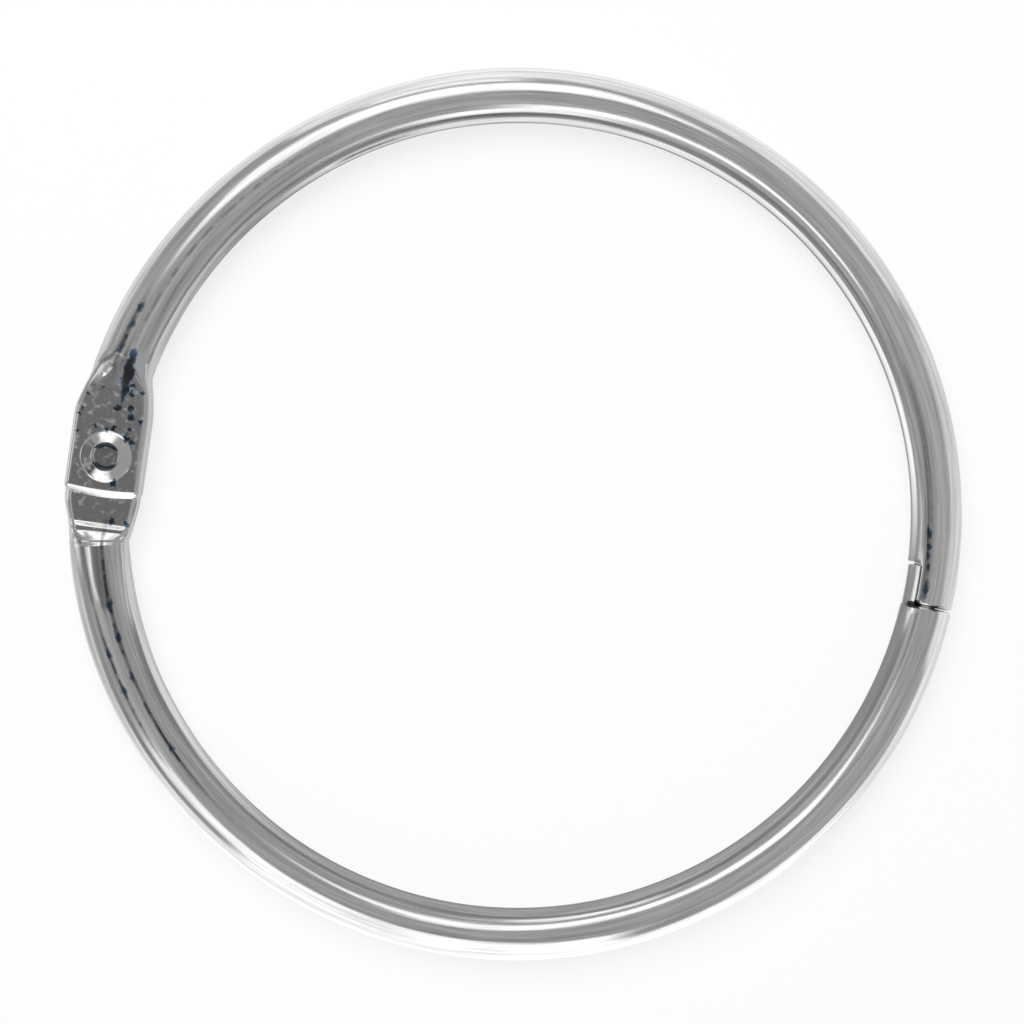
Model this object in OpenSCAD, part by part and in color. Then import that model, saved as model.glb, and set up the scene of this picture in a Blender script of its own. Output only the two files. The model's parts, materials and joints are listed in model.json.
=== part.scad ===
// Hinged loose-leaf binder ring, closed and lying flat.
// Two half rings are rolled from sheet, each with its butt seam along the inside of the ring.
// One half ends in a clevis, the other in a flattened tongue, and a clinched rivet joins them.
// The free ends meet in a stepped snap clasp: a swaged nose that goes into the open tube.
//
// Origin: centre of the ring's circle, on the surface that the ring lies on. +Z is up.
// The hinge is at -X and the clasp near +X. Angles run anticlockwise from +X.

/* [Ring] */
// Clear diameter inside the closed ring
inside_d = 63.5; // [38:0.5:102]
// Outside diameter of the rolled tube
tube_d = 4.5; // [4.3:0.05:5.5]
// Thickness of the sheet
sheet = 0.5; // [0.4:0.02:0.56]
// Width of the butt seam
seam_gap = 0.18; // [0.1:0.02:0.4]

/* [Clevis] */
// Distance of the pivot inside the tube's centreline
pivot_inset = 0.5; // [0:0.05:0.9]
// Width of the cheeks, across the ring
cheek_w = 6.15; // [5.6:0.05:6.8]
// Thickness over both cheeks
clevis_t = 2.9; // [2.7:0.05:3.4]
// Pivot to the tips of the cheeks
cheek_reach = 3.3; // [3:0.05:4]
// Pivot to the end of the cheeks' flat, on the tube's side
cheek_flat = 5.4; // [5:0.1:8]
// Length of the pressed slope between the flat and the round tube
press_len = 3; // [1.6:0.1:4]
// Length over which the tube widens to the cheeks
flare_len = 4; // [3:0.1:4.5]
// Radius of the fold along the cheeks' inner margin
fold_r = 0.56; // [0.5:0.02:0.8]
// Radius of the crisp outer margin
edge_r = 0.2; // [0.1:0.02:0.4]
// Length of the sheared slope at the cheeks' tips
lip_len = 0.6; // [0.3:0.05:0.8]
// Radius of the corners at the cheeks' tips
corner_r = 0.6; // [0.3:0.05:1]

/* [Tongue] */
// Greatest width of the tongue
tongue_w = 6.1; // [5.4:0.05:6.4]
// Radius of the tongue's end, inside the clevis
tip_r = 2.65; // [2.3:0.05:2.9]
// Flat length of the tongue that shows past the cheeks
tongue_show = 1.95; // [1.6:0.05:3]
// Play between the tongue and each cheek
hinge_play = 0.08; // [0.04:0.01:0.12]
// Radius along the tongue's sides
side_r = 0.7; // [0.55:0.05:0.78]
// Height of the first pressed step across the tongue
step_h = 0.36; // [0.1:0.02:0.6]
// Length of the first step
step_len = 0.45; // [0.3:0.05:0.8]
// Length of the ledge between the two steps
ledge_len = 0.3; // [0.2:0.05:0.8]
// Length of the shoulder from the ledge to the round tube
shoulder_len = 1.8; // [1.6:0.1:3.5]

/* [Rivet] */
// Diameter of the shank
shank_d = 2.9; // [2.4:0.1:3.4]
// Diameter of the domed heads
head_d = 4.2; // [3.8:0.1:4.8]
// Height of the heads over the cheeks, at the recess
head_h = 0.38; // [0.2:0.02:0.42]
// Diameter of the recess in each end
recess_d = 2.2; // [1.6:0.1:2.3]
// Depth of the recess under the top of the head
recess_depth = 0.5; // [0.2:0.05:1]
// Radial play of the shank in the tongue
rivet_play = 0.05; // [0.02:0.01:0.1]

/* [Clasp] */
// Angle of the clasp below +X
clasp_angle = 4.8; // [0:0.2:8]
// Gap between the two ends
clasp_gap = 0.12; // [0.06:0.02:0.3]
// Length of the slot in the inner side of the open tube
slot_len = 3.5; // [2.5:0.1:5]
// Half of the slot's spread, about the inner side
slot_spread = 59; // [40:1:75]
// Length of the nose past the slot
nose_past = 0.9; // [0.6:0.1:2]
// Radial play of the nose in the tube
nose_play = 0.12; // [0.1:0.01:0.2]
// How far the nose lies under the tube's surface in the slot
land_drop = 0.08; // [0:0.02:0.16]
// Rounding of the two meeting edges
rolled_edge = 0.25; // [0.1:0.05:0.35]

/* [Hidden] */
$fn = 144;
eps = 0.01;
PLATING = [0.75, 0.75, 0.75];
RIVET_PLATING = [0.7, 0.7, 0.7];

tube_r = tube_d / 2;
bore_r = tube_r - sheet;
ring_r = (inside_d + tube_d) / 2;
pivot_r = ring_r - pivot_inset;
mid_z = tube_r;
mm = 180 / (PI * ring_r);

// Room behind the tongue's side in the mouth, how far past the cheeks' flat they reach their full
// width, and how far the tongue keeps its full width inside the cheeks and narrows past the ledge
MOUTH_ROOM = 0.75;
FLARE_PAST = 1.8;
TAPER_INSIDE = 0.1;
TAPER_PAST = 0.8;
cheek_gap = clevis_t - 2 * sheet;
tongue_t = cheek_gap - 2 * hinge_play;
mouth_end = tongue_w / 2 + MOUTH_ROOM;

cheek_start = cheek_flat + press_len;
flare_start = min(cheek_flat + FLARE_PAST, cheek_start);
step_start = cheek_reach + tongue_show;
ledge_start = step_start + step_len;
ledge_end = ledge_start + ledge_len;
shoulder_start = ledge_end + shoulder_len;
taper_start = ledge_end + TAPER_PAST;
taper_end = cheek_reach - TAPER_INSIDE;

nose_r = bore_r - nose_play;
nose_len = slot_len + nose_past;
land_r = tube_r - land_drop;
land_spread = slot_spread - asin(nose_play / tube_r);
nose_bore_r = nose_r - sheet;
taper_len = 0.75 * nose_past;
taper_drop = nose_r / 4;

// Cuts run this far past what they cut, in degrees and in millimetres
OVER_TURN = 1;
OVER = 1;

// Loft settings: how many steps round each corner of a section, how deep a loft's first ring stands
// inside the tube's wall and how far it reaches into the tube, the smallest flat between two corners,
// and the smallest inner corner
STEPS = 8;
WELD = 0.02;
REACH_IN = 0.6;
FLAT = 0.015;
TIGHT = 0.04;
SEAM_TURN = asin((seam_gap / 2 + WELD) / bore_r);

// ---- Sections -------------------------------------------------------------------------------

function mix(a, b, k) = a + (b - a) * k;
function ease(k) = let (c = min(1, max(0, k))) c * c * (3 - 2 * c);
function between(x, from, to) = ease((x - from) / (to - from));
function circle_y(s) = sqrt(ring_r * ring_r - s * s) - pivot_r;

// A section is [half width, half thickness, outer corner radius, inner corner radius, centre].
// Its path runs from one lip of the seam round the outer side to the other lip.
function turn(first, last) = [for (i = [0:STEPS]) mix(first, last, i / STEPS)];
function corner(q, side, up, a, b, r, c) = [c + side * (a - r) + r * cos(q), up * (b - r) + r * sin(q)];
function path(a, b, r_out, r_in, c) = concat(
    [for (q = turn(-180 + SEAM_TURN, -90)) corner(q, -1, -1, a, b, r_in, c)],
    [for (q = turn(-90, 0)) corner(q, 1, -1, a, b, r_out, c)],
    [for (q = turn(0, 90)) corner(q, 1, 1, a, b, r_out, c)],
    [for (q = turn(90, 180 - SEAM_TURN)) corner(q, -1, 1, a, b, r_in, c)]
);
function reversed(list) = [for (i = [len(list) - 1:-1:0]) list[i]];
function walls(a, b, r_out, r_in) = concat(
    path(a, b, min(r_out, a - FLAT, b - FLAT), min(r_in, a - FLAT, b - FLAT), 0),
    reversed(path(
        a - sheet, b - sheet,
        max(min(r_out, a - FLAT, b - FLAT) - sheet, TIGHT),
        max(min(r_in, a - FLAT, b - FLAT) - sheet, TIGHT),
        0
    ))
);
function welded() = concat(
    path(tube_r - WELD, tube_r - WELD, tube_r - WELD - FLAT, tube_r - WELD - FLAT, 0),
    reversed(path(bore_r + WELD, bore_r + WELD, bore_r + WELD - FLAT, bore_r + WELD - FLAT, 0))
);

// A station puts a section at s along the hinge's tangent, c outward, turned by tilt.
function station(s, c, tilt, outline) = [for (p = outline) [s + p[0] * sin(tilt), c + p[0] * cos(tilt), p[1]]];
function on_tube(s) = station(s, circle_y(s), asin(s / ring_r), welded());

module loft(rings) {
    n = len(rings[0]);
    half = n / 2;
    last = len(rings) - 1;
    sides = [for (i = [0:last - 1]) for (k = [0:n - 1])
        let (a = i * n + k, b = i * n + (k + 1) % n, c = a + n, d = b + n) each [[a, b, d], [a, d, c]]];
    function cap(at, flip) = [for (k = [0:half - 2])
        let (a = at + k, b = at + k + 1, c = at + n - 1 - k, d = at + n - 2 - k)
        each (flip ? [[a, c, d], [a, d, b]] : [[a, d, c], [a, b, d]])];
    polyhedron(
        points = [for (r = rings) each r],
        faces = concat(sides, cap(0, true), cap(last * n, false)),
        convexity = 8
    );
}

// ---- Tube -----------------------------------------------------------------------------------

// A 2D section swept round the ring from one angle to another; x is outward from the tube's centre.
module sweep(from, to) {
    translate([0, 0, mid_z]) rotate(from) rotate_extrude(angle = to - from)
        translate([ring_r, 0]) children();
}

// All that lies within a spread of the tube's inner side
module inner_wedge(spread, reach) {
    polygon([
        [0, 0], [-reach * cos(spread), reach * sin(spread)], [-reach - OVER, reach * sin(spread)],
        [-reach - OVER, -reach * sin(spread)], [-reach * cos(spread), -reach * sin(spread)]
    ]);
}

module seam_slit(from, to) {
    sweep(from, to) translate([-2 * tube_r, -seam_gap / 2]) square([2 * tube_r, seam_gap]);
}

// Puts its children at an angle of the ring, with +Z along the tube, anticlockwise
module at_angle(a) {
    rotate(a) translate([ring_r, 0, mid_z]) rotate([-90, 0, 0]) children();
}

// What a rolled edge takes off a rod of radius rod_r that ends at z = 0: two bevels in place of a round
module edge_cut(rod_r, r) {
    rotate_extrude() polygon([
        [rod_r - r - r / 10, r / 10], [rod_r - r, -r / 10], [rod_r - r / 3, -r * 0.4],
        [rod_r, -r], [rod_r + r / 2, -2 * r], [rod_r + tube_r, -2 * r], [rod_r + tube_r, r / 10]
    ]);
}

// What the lead-in of the nose takes off its tip: it starts a tenth of its length early and runs past
module taper_cut() {
    slope = taper_drop / taper_len;
    translate([0, 0, -1.1 * taper_len]) difference() {
        cylinder(r = 2 * tube_r, h = 1.5 * taper_len);
        translate([0, 0, -eps]) cylinder(
            r1 = nose_r + 0.1 * taper_drop, r2 = nose_r + 0.1 * taper_drop - 1.6 * taper_len * slope,
            h = 1.6 * taper_len
        );
    }
}

module at_pivot() {
    translate([-pivot_r, 0, mid_z]) rotate(90) children();
}

// ---- Half ring with the clevis -----------------------------------------------------------------

// The lip loses this share of the sheet's thickness at the tips, first slowly and then faster
LIP_DROP = 0.9;
LIP_CURVE = 1.4;

function cheek_outline(s) = let (
    press = between(s, cheek_flat, cheek_start),
    flare = between(s, flare_start - flare_len, flare_start),
    tip = max(0, min(1, (corner_r - cheek_reach - s) / corner_r)),
    lip = max(0, min(1, (lip_len - cheek_reach - s) / lip_len)),
    a = mix(cheek_w / 2, tube_r - WELD, flare) - corner_r * (1 - sqrt(1 - tip * tip)),
    thin = 1 - LIP_DROP * pow(lip, LIP_CURVE),
    b = mix(clevis_t / 2, tube_r - WELD, press) - sheet * (1 - thin),
    fold = mix(fold_r, tube_r - WELD, press) * thin,
    edge = mix(edge_r, tube_r - WELD, press)
) [a, b, edge, fold];

function clevis_ring(s) = let (
    o = cheek_outline(s),
    flare = between(s, flare_start - flare_len, flare_start),
    c = s > flare_start ? circle_y(s) : mix(0, circle_y(flare_start), flare)
) station(s, c, asin(s / ring_r) * between(s, cheek_flat - 1, cheek_start), cheek_walls(o));

// The lip thins from outside only, so the cheeks' inner faces stay flat to the tips.
function cheek_walls(o) = let (
    outer = path(o[0], o[1], min(o[2], o[0] - FLAT, o[1] - FLAT), min(o[3], o[0] - FLAT, o[1] - FLAT), 0),
    in_b = max(clevis_t / 2, o[1]) - sheet,
    inner = path(o[0] - sheet, in_b, max(o[2] - sheet, TIGHT), max(o[3] - sheet, TIGHT), 0)
) concat(outer, reversed(inner));

module clevis_loft() {
    press_s = [for (i = [11:-1:1]) cheek_flat + press_len * i / 12];
    flare_end = flare_start - flare_len;
    flare_s = [for (i = [8:-1:0]) mix(flare_end, cheek_flat, i / 8)];
    tip_s = [for (i = [0:5]) -cheek_reach + max(corner_r, lip_len) * pow(1 - i / 6, 2)];
    loft(concat(
        [on_tube(cheek_start + REACH_IN), on_tube(cheek_start - 2 * WELD)],
        [for (s = concat(press_s, flare_s, tip_s)) clevis_ring(s)]
    ));
}

module clevis_half() {
    color(PLATING) difference() {
        union() {
            difference() {
                sweep(-clasp_angle + clasp_gap / 2 * mm, 180 - asin(cheek_start / ring_r)) circle(r = tube_r);
                sweep(-clasp_angle - OVER_TURN, 180 - asin(cheek_start / ring_r) + OVER_TURN) circle(r = bore_r);
                seam_slit(-clasp_angle - OVER_TURN, 180 - asin(cheek_start / ring_r) + OVER_TURN);
            }
            at_pivot() clevis_loft();
        }
        // Mouth through which the tongue swings out
        at_pivot() translate([0, cheek_w / 4, 0]) rotate([-90, 0, 0]) {
            translate([-cheek_reach - OVER, -cheek_gap / 2, 0])
                cube([cheek_reach + OVER + mouth_end - cheek_gap / 2, cheek_gap, cheek_w]);
            translate([mouth_end - cheek_gap / 2, 0, 0]) cylinder(d = cheek_gap, h = cheek_w);
        }
        // Rivet holes
        at_pivot() cylinder(d = shank_d, h = 2 * clevis_t, center = true);
        // Slot in the inner side, for the nose
        sweep(-clasp_angle - OVER_TURN, -clasp_angle + (clasp_gap / 2 + slot_len) * mm)
            inner_wedge(slot_spread, 2 * tube_r);
        // Rolled edge of the open end
        at_angle(-clasp_angle + clasp_gap / 2 * mm) rotate([180, 0, 0]) edge_cut(tube_r, rolled_edge);
    }
}

// ---- Half ring with the tongue -------------------------------------------------------------------

// Half thickness along the tongue: flat, a step, a ledge, a second step and a slope up to the round tube.
// The second step ends at a share of the shoulder's length and of its height.
STEEP_LEN = 0.38;
STEEP_H = 0.8;
flat_h = tongue_t / 2;
ledge_h = flat_h + step_h;
PRESS = [
    [0, flat_h],
    [step_start, flat_h],
    [ledge_start, ledge_h],
    [ledge_end, ledge_h],
    [ledge_end + STEEP_LEN * shoulder_len, mix(ledge_h, tube_r, STEEP_H)],
    [shoulder_start, tube_r - WELD]
];

function tongue_ring(s) = let (
    taper = between(s, taper_end, taper_start),
    b = lookup(s, PRESS),
    round = (b - flat_h) / (tube_r - flat_h),
    a = s < taper_end ? mix(tip_r, tongue_w / 2, between(s, 0, taper_end)) : mix(tongue_w / 2, tube_r - WELD, taper),
    c = s > taper_start ? circle_y(s) : mix(0, circle_y(taper_start), taper),
    r = mix(side_r, tube_r - WELD, round)
) station(s, c, asin(s / ring_r) * between(s, step_start, shoulder_start), walls(a, b, r, r));

module tongue_loft() {
    crown = [for (i = [4:-1:1]) mix(PRESS[4][0], shoulder_start, i / 5)];
    knots = [for (i = [4:-1:1]) PRESS[i][0]];
    neck = [for (i = [4:-1:0]) mix(taper_end, step_start, i / 5)];
    head = [for (i = [3:-1:0]) taper_end * i / 4];
    loft(concat(
        [on_tube(shoulder_start + REACH_IN), on_tube(shoulder_start - 2 * WELD)],
        [for (s = concat(crown, knots, neck, head)) tongue_ring(s)],
        [tongue_ring(-tip_r - eps)]
    ));
}

module tongue_half() {
    start = 180 + asin(shoulder_start / ring_r);
    shoulder = 360 - clasp_angle - clasp_gap / 2 * mm;
    root = shoulder - 2 * sheet * mm;
    tip = shoulder + nose_len * mm;
    color(PLATING) difference() {
        union() {
            difference() {
                union() {
                    sweep(start, shoulder) circle(r = tube_r);
                    // Swaged nose, which goes into the open tube
                    sweep(root, tip) circle(r = nose_r);
                    // Land of the nose, which fills the slot
                    sweep(root, shoulder + (slot_len - nose_play) * mm) intersection() {
                        circle(r = land_r);
                        inner_wedge(land_spread, 2 * tube_r);
                    }
                }
                sweep(start - OVER_TURN, shoulder - sheet * mm) circle(r = bore_r);
                sweep(root, tip + OVER_TURN) circle(r = nose_bore_r);
                seam_slit(start - OVER_TURN, tip + OVER_TURN);
                at_angle(tip) taper_cut();
            }
            at_pivot() mirror([1, 0, 0]) tongue_loft();
        }
        // Round end of the tongue, and its rivet hole
        at_pivot() translate([0, 0, -tongue_t]) linear_extrude(2 * tongue_t) difference() {
            translate([0, -tongue_w]) square([tip_r * 2, tongue_w * 2]);
            circle(r = tip_r);
        }
        at_pivot() cylinder(r = shank_d / 2 + rivet_play, h = 2 * clevis_t, center = true);
    }
}

// ---- Rivet ---------------------------------------------------------------------------------------

// Each head is a low dome, centred on the axis, with a recess in its middle.
module hinge_rivet() {
    head_r = head_d / 2;
    recess_r = recess_d / 2;
    dome_low = (head_r * head_r - recess_r * recess_r - head_h * head_h) / (2 * head_h);
    floor_z = clevis_t / 2 + head_h - recess_depth;
    color(RIVET_PLATING) at_pivot() rotate_extrude() {
        translate([0, -floor_z]) square([shank_d / 2, 2 * floor_z]);
        for (up = [-1, 1]) scale([1, up]) {
            translate([recess_r, 0]) square([shank_d / 2 - recess_r, clevis_t / 2 + eps]);
            translate([0, clevis_t / 2]) intersection() {
                translate([0, -dome_low]) circle(r = norm([head_r, dome_low]));
                translate([recess_r, 0]) square([head_r - recess_r, 2 * head_h]);
            }
        }
    }
}

clevis_half();
tongue_half();
hinge_rivet();
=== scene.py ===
"""The look of a nickel-plated hinged binder ring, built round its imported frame.

Geometry is worked out in millimetres, in the frame's own axes, and turned to metres as each mesh is made.
Each half ring is one sheet: a grid of columns round the tube and rows along it, with an outer and an inner
side that rounded rims join. A place on a half ring is its run, the distance from the hinge's pivot along the
ring, and its turn, the angle round the tube from the ring's outer side.
"""

import json
import math
from functools import partial, reduce

import bmesh
import bpy
import numpy as np
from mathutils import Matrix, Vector


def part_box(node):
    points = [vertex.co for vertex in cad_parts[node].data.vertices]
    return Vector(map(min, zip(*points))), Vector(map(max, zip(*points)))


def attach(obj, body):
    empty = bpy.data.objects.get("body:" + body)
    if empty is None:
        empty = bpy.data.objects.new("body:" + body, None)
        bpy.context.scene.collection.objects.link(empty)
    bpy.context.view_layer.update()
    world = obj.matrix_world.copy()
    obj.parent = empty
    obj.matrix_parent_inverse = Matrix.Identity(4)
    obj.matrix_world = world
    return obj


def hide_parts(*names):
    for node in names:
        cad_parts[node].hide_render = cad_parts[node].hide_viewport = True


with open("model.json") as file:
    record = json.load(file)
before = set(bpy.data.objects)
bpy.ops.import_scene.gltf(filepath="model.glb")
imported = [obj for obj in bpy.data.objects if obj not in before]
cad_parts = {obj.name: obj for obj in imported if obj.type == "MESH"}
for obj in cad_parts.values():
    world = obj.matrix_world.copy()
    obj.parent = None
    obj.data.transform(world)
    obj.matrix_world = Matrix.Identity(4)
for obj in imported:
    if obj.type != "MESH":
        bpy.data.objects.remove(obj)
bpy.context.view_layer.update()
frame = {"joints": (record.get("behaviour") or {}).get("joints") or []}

# ---- Sizes, in millimetres ----

MM = 0.001

# Tube, its radii from the frame
_, clevis_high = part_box("clevis_half")
TUBE_R = clevis_high.z / MM / 2
RING_R = clevis_high.y / MM - TUBE_R
PIVOT_R = -frame["joints"][0]["pos_m"][0] / MM
SHEET = 0.5  # thickness of the metal
BORE_R = TUBE_R - SHEET
SEAM_GAP = 0.18  # of the butt seam on the tube's inner side
RIM_ROUND = 0.07  # rounding of the sheet's rims
RIM_SHARE = 0.45  # of the thickness, the most that a rounding takes
LEAST_R = 0.04  # smallest corner inside a section

# Clevis
CHEEK_W = 6.15
CLEVIS_T = 2.9  # thickness over both cheeks
CHEEK_GAP = CLEVIS_T - 2 * SHEET
CHEEK_REACH = 3.3  # pivot to the tips
CHEEK_FLAT = 5.4  # pivot to the end of the flat
CHEEK_START = CHEEK_FLAT + 3  # where the round tube begins
CHEEK_TILT = CHEEK_FLAT - 1  # from here on the sections turn with the ring
FLARE_START = CHEEK_FLAT + 1.8
FLARE_LEN = 4
FOLD_R = 0.5  # along the inner margin
EDGE_R = 0.4  # along the outer margin
LIP_LEN = 0.6  # of the bevel at the tips
LIP_DROP = 0.64  # share of the sheet that the bevel takes at the very end
LIP_CURVE = 1.15
LIP_LEAST_EDGE = 0.2  # least share of its radius that the outer margin keeps on the bevel
TIP_BOW = 0.2  # how far a tip's corners stand back from its middle
CORNER_R = 0.6  # of those corners

# Tongue; STEEP_H, CROWN_H and ARC_H are heights over the ring's middle plane
HINGE_PLAY = 0.08
TONGUE_W = 6.1
TONGUE_T = CHEEK_GAP - 2 * HINGE_PLAY
TIP_R = 2.65  # of its round end
SIDE_R = 0.7  # along its margins
STEP_H = 0.21  # of the first step
STEP_START = CHEEK_REACH + 2.12
LEDGE_START = STEP_START + 0.36
LEDGE_END = LEDGE_START + 0.34
SHOULDER_START = LEDGE_END + 1.7
STEEP_LEN = 0.62  # of the second step
STEEP_H = 1.53
CROWN_LEN = 0.26  # of the nearly level stretch past it
CROWN_H = 1.57
ARC_LEN = 0.2  # of the rise past that, at whose end the section is round
ARC_H = 1.72
CROWN_END = 12  # where the crown has the tube's full height
TAPER_START = LEDGE_END + 0.8
TAPER_END = CHEEK_REACH - 0.1
MOUTH_PAST = 0.75  # how far the mouth's end lies past the tongue's half width
MOUTH_START = TONGUE_W / 2 + MOUTH_PAST - CHEEK_GAP / 2  # where its round end begins
MOUTH_REACH = MOUTH_START + 0.3  # how far the cheeks are open
MOUTH_ROUND = 0.1  # rounding of its rim
MOUTH_STEP = 0.1  # width that each part's columns take beside the rim

# Rivet
SHANK_R = 1.45
HEAD_R = 2.1
HEAD_H = 0.38
HEAD_FOOT = 0.02  # height of the bevel at the head's rim
HEAD_EASE = 0.15  # width over which that is rounded off
RECESS_R = 1.1
RECESS_DEPTH = 0.5
BOWL_R = 0.14  # rounding of the recess's floor
LIP_R = 0.05  # rounding of its edge
RIVET_PLAY = 0.05
RIVET_SEGMENTS = 128

# Clasp
CLASP_ANGLE = 4.8  # from opposite the hinge to the clasp's gap, on the tongue's side
CLASP_GAP = 0.12
SLOT_LEN = 3.5
SLOT_SPREAD = 56  # degrees each way from the ring's inner side
SLOT_CORNER = 0.4  # rounding of the slot's inner corners
NOSE_PLAY = 0.12
NOSE_PAST = 0.9  # how far the nose reaches past the slot
NOSE_R = BORE_R - NOSE_PLAY
NOSE_LEN = SLOT_LEN + NOSE_PAST
NOSE_BORE_R = NOSE_R - SHEET
NOSE_TAPER = NOSE_R / 4
NOSE_TAPER_LEN = 0.75 * NOSE_PAST
NOSE_TAPER_EASE = (-1.3 * NOSE_TAPER_LEN, NOSE_TAPER_LEN)  # before and past the nose's end
LAND_R = TUBE_R - 0.08  # the land is the part of the nose that fills the slot
LAND_SPREAD = SLOT_SPREAD - math.degrees(math.asin(NOSE_PLAY / TUBE_R))
LAND_LEN = SLOT_LEN - NOSE_PLAY
LAND_EASE = 1.5  # degrees each way over which its sides fall to the nose
LAND_FALL = (-0.1, 0.02)  # over which its end does, past its length
ROLLED_EDGE = 0.28  # rounding of the slotted tube's end
SHOULDER_ROUND = 0.24  # and of the shoulder it meets

# How much wider than round the tube is on each side beside the pressed hinge, and narrower at the clasp,
# and the runs over which that changes
SPREAD = 0.16
SPREAD_RUNS = (9, 42)
SQUEEZE = 0.07
SQUEEZE_RUNS = (45, 85)
# How much flatter than round the tube's inner side gets on each half (1 clevis, -1 tongue), and over what runs
FLATTER = {1: [(0.26, 40, 80)], -1: [(0.12, 8, 20), (0.14, 20, 60)]}


def mix(a, b, k):
    return a + (b - a) * k


def ease(k):
    k = min(1.0, max(0.0, k))
    return k * k * (3 - 2 * k)


def between(x, start, end):
    return ease((x - start) / (end - start))


def slope(x, start, end, bend=0.12):
    """From 0 at start to 1 at end in a straight line with eased ends."""
    k = min(1.0, max(0.0, (x - start) / (end - start)))
    if k < bend:
        return k * k / (2 * bend * (1 - bend))
    if k > 1 - bend:
        return 1 - (1 - k) ** 2 / (2 * bend * (1 - bend))
    return (k - bend / 2) / (1 - bend)


def widening(run):
    """What the tube's half width has over its radius, at a run."""
    return SPREAD * (1 - between(run, *SPREAD_RUNS)) - SQUEEZE * between(run, *SQUEEZE_RUNS)


def flattened(x, run, side):
    """A section's x with the tube's inner side a little flatter than round, more so towards the clasp."""
    flat = sum(depth * between(run, start, end) for depth, start, end in FLATTER[side])
    return x if x > 0 else x * (1 - flat / TUBE_R)


def steps(start, end, count):
    """count values from start on, without end."""
    return [mix(start, end, i / count) for i in range(count)]


def roll(distance, radius):
    """How far a rounded edge lies under its surface, at a distance from its end."""
    left = max(0.0, radius - distance)
    return radius - math.sqrt(max(0.0, radius * radius - left * left))


# ---- Sheet: columns, sections and rims ----

# A column is a half of the section (1 upper, -1 lower), a part of the flattened section, the share of that
# part, and the turn on the round tube. A cell lies between two rows and two columns
SEAM_TURN = 180 - math.degrees(math.asin(SEAM_GAP / 2 / TUBE_R))
MOUTH_TURN = math.degrees(math.asin(CHEEK_GAP / 2 / TUBE_R))
MOUTH_SHARE = CHEEK_GAP / 2 / (CLEVIS_T / 2 - EDGE_R)
LAND_TURN = 180 - LAND_SPREAD


def half_columns(plan):
    """Columns from the ring's outer side to one lip of the seam; a row of the plan is
    (part, shares from and to, turns from and to, number of columns)."""
    made = []
    for part, share, turn, count in plan:
        made += [(part, s, t) for s, t in zip(steps(*share, count), steps(*turn, count))]
    part, share, turn, _ = plan[-1]
    return made + [(part, share[1], turn[1])]


def all_columns(plan):
    half = half_columns(plan)
    return [(-1, *c) for c in reversed(half[1:])] + [(1, *c) for c in half]


CLEVIS_COLUMNS = all_columns([
    ("edge", (0, MOUTH_SHARE), (0, MOUTH_TURN), 8),
    ("edge", (MOUTH_SHARE, 1), (MOUTH_TURN, 32), 2),
    ("outer", (0, 1), (32, 50), 7),
    ("face", (0, 1), (50, 180 - SLOT_SPREAD), 26),
    ("inner", (0, 1), (180 - SLOT_SPREAD, 160), 12),
    ("lip", (0, 0.85), (160, 174), 5),
    ("lip", (0.85, 1), (174, SEAM_TURN), 1),
])
TONGUE_COLUMNS = all_columns([
    ("edge", (0, 1), (0, 8), 2),
    ("outer", (0, 1), (8, 58), 16),
    ("face", (0, 1), (58, LAND_TURN - 3), 22),
    ("inner", (0, 0.1), (LAND_TURN - 3, LAND_TURN + 3), 6),
    ("inner", (0.1, 1), (LAND_TURN + 3, 172), 15),
    ("lip", (0, 0.4), (172, 174), 1),
    ("lip", (0.4, 1), (174, SEAM_TURN), 1),
])


def flat_point(part, share, a, b, r_out, r_in):
    """A point of a flattened section of half width a and half thickness b, in its upper half."""
    if part == "edge":
        return a, share * (b - r_out)
    if part == "outer":
        q = math.radians(90 * share)
        return a - r_out + r_out * math.cos(q), b - r_out + r_out * math.sin(q)
    if part == "face":
        return mix(a - r_out, r_in - a, share), b
    if part == "inner":
        q = math.radians(90 + 90 * share)
        return r_in - a + r_in * math.cos(q), b - r_in + r_in * math.sin(q)
    return -a, mix(b - r_in, SEAM_GAP / 2, share)


def section_point(column, a, b, r_out, r_in, roundness):
    up, part, share, turn = column
    x, y = flat_point(part, share, a, b, r_out, r_in)
    q = math.radians(turn)
    return mix(x, a * math.cos(q), roundness), up * mix(y, b * math.sin(q), roundness)


def centre_at(s):
    """How far outward of the pivot the tube's centre lies, at s along the hinge's tangent."""
    return math.sqrt(RING_R * RING_R - s * s) - PIVOT_R


def in_frame(x, y, s, centre, tilt, side):
    """Section point (x outward, y up) at a station, in the frame's axes; side is 1 for the clevis half."""
    along = s + x * math.sin(tilt)
    outward = centre + x * math.cos(tilt)
    return -PIVOT_R - outward, side * along, TUBE_R + y


def on_ring(x, y, run, loft_end, side):
    """The same on the round tube, past the end of the loft."""
    angle = math.asin(loft_end / RING_R) + (run - loft_end) / RING_R
    s, centre = RING_R * math.sin(angle), RING_R * math.cos(angle) - PIVOT_R
    return in_frame(x, y, s, centre, angle, side)


def unit(v):
    length = np.linalg.norm(v)
    return v / length if length > 1e-9 else v


def cell_corners(r, c):
    return [(r, c), (r, c + 1), (r + 1, c + 1), (r + 1, c)]


MITRE_LIMIT = 0.5  # keeps the mitre of a sharp corner short
WELD = 1e-7  # metres


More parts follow.
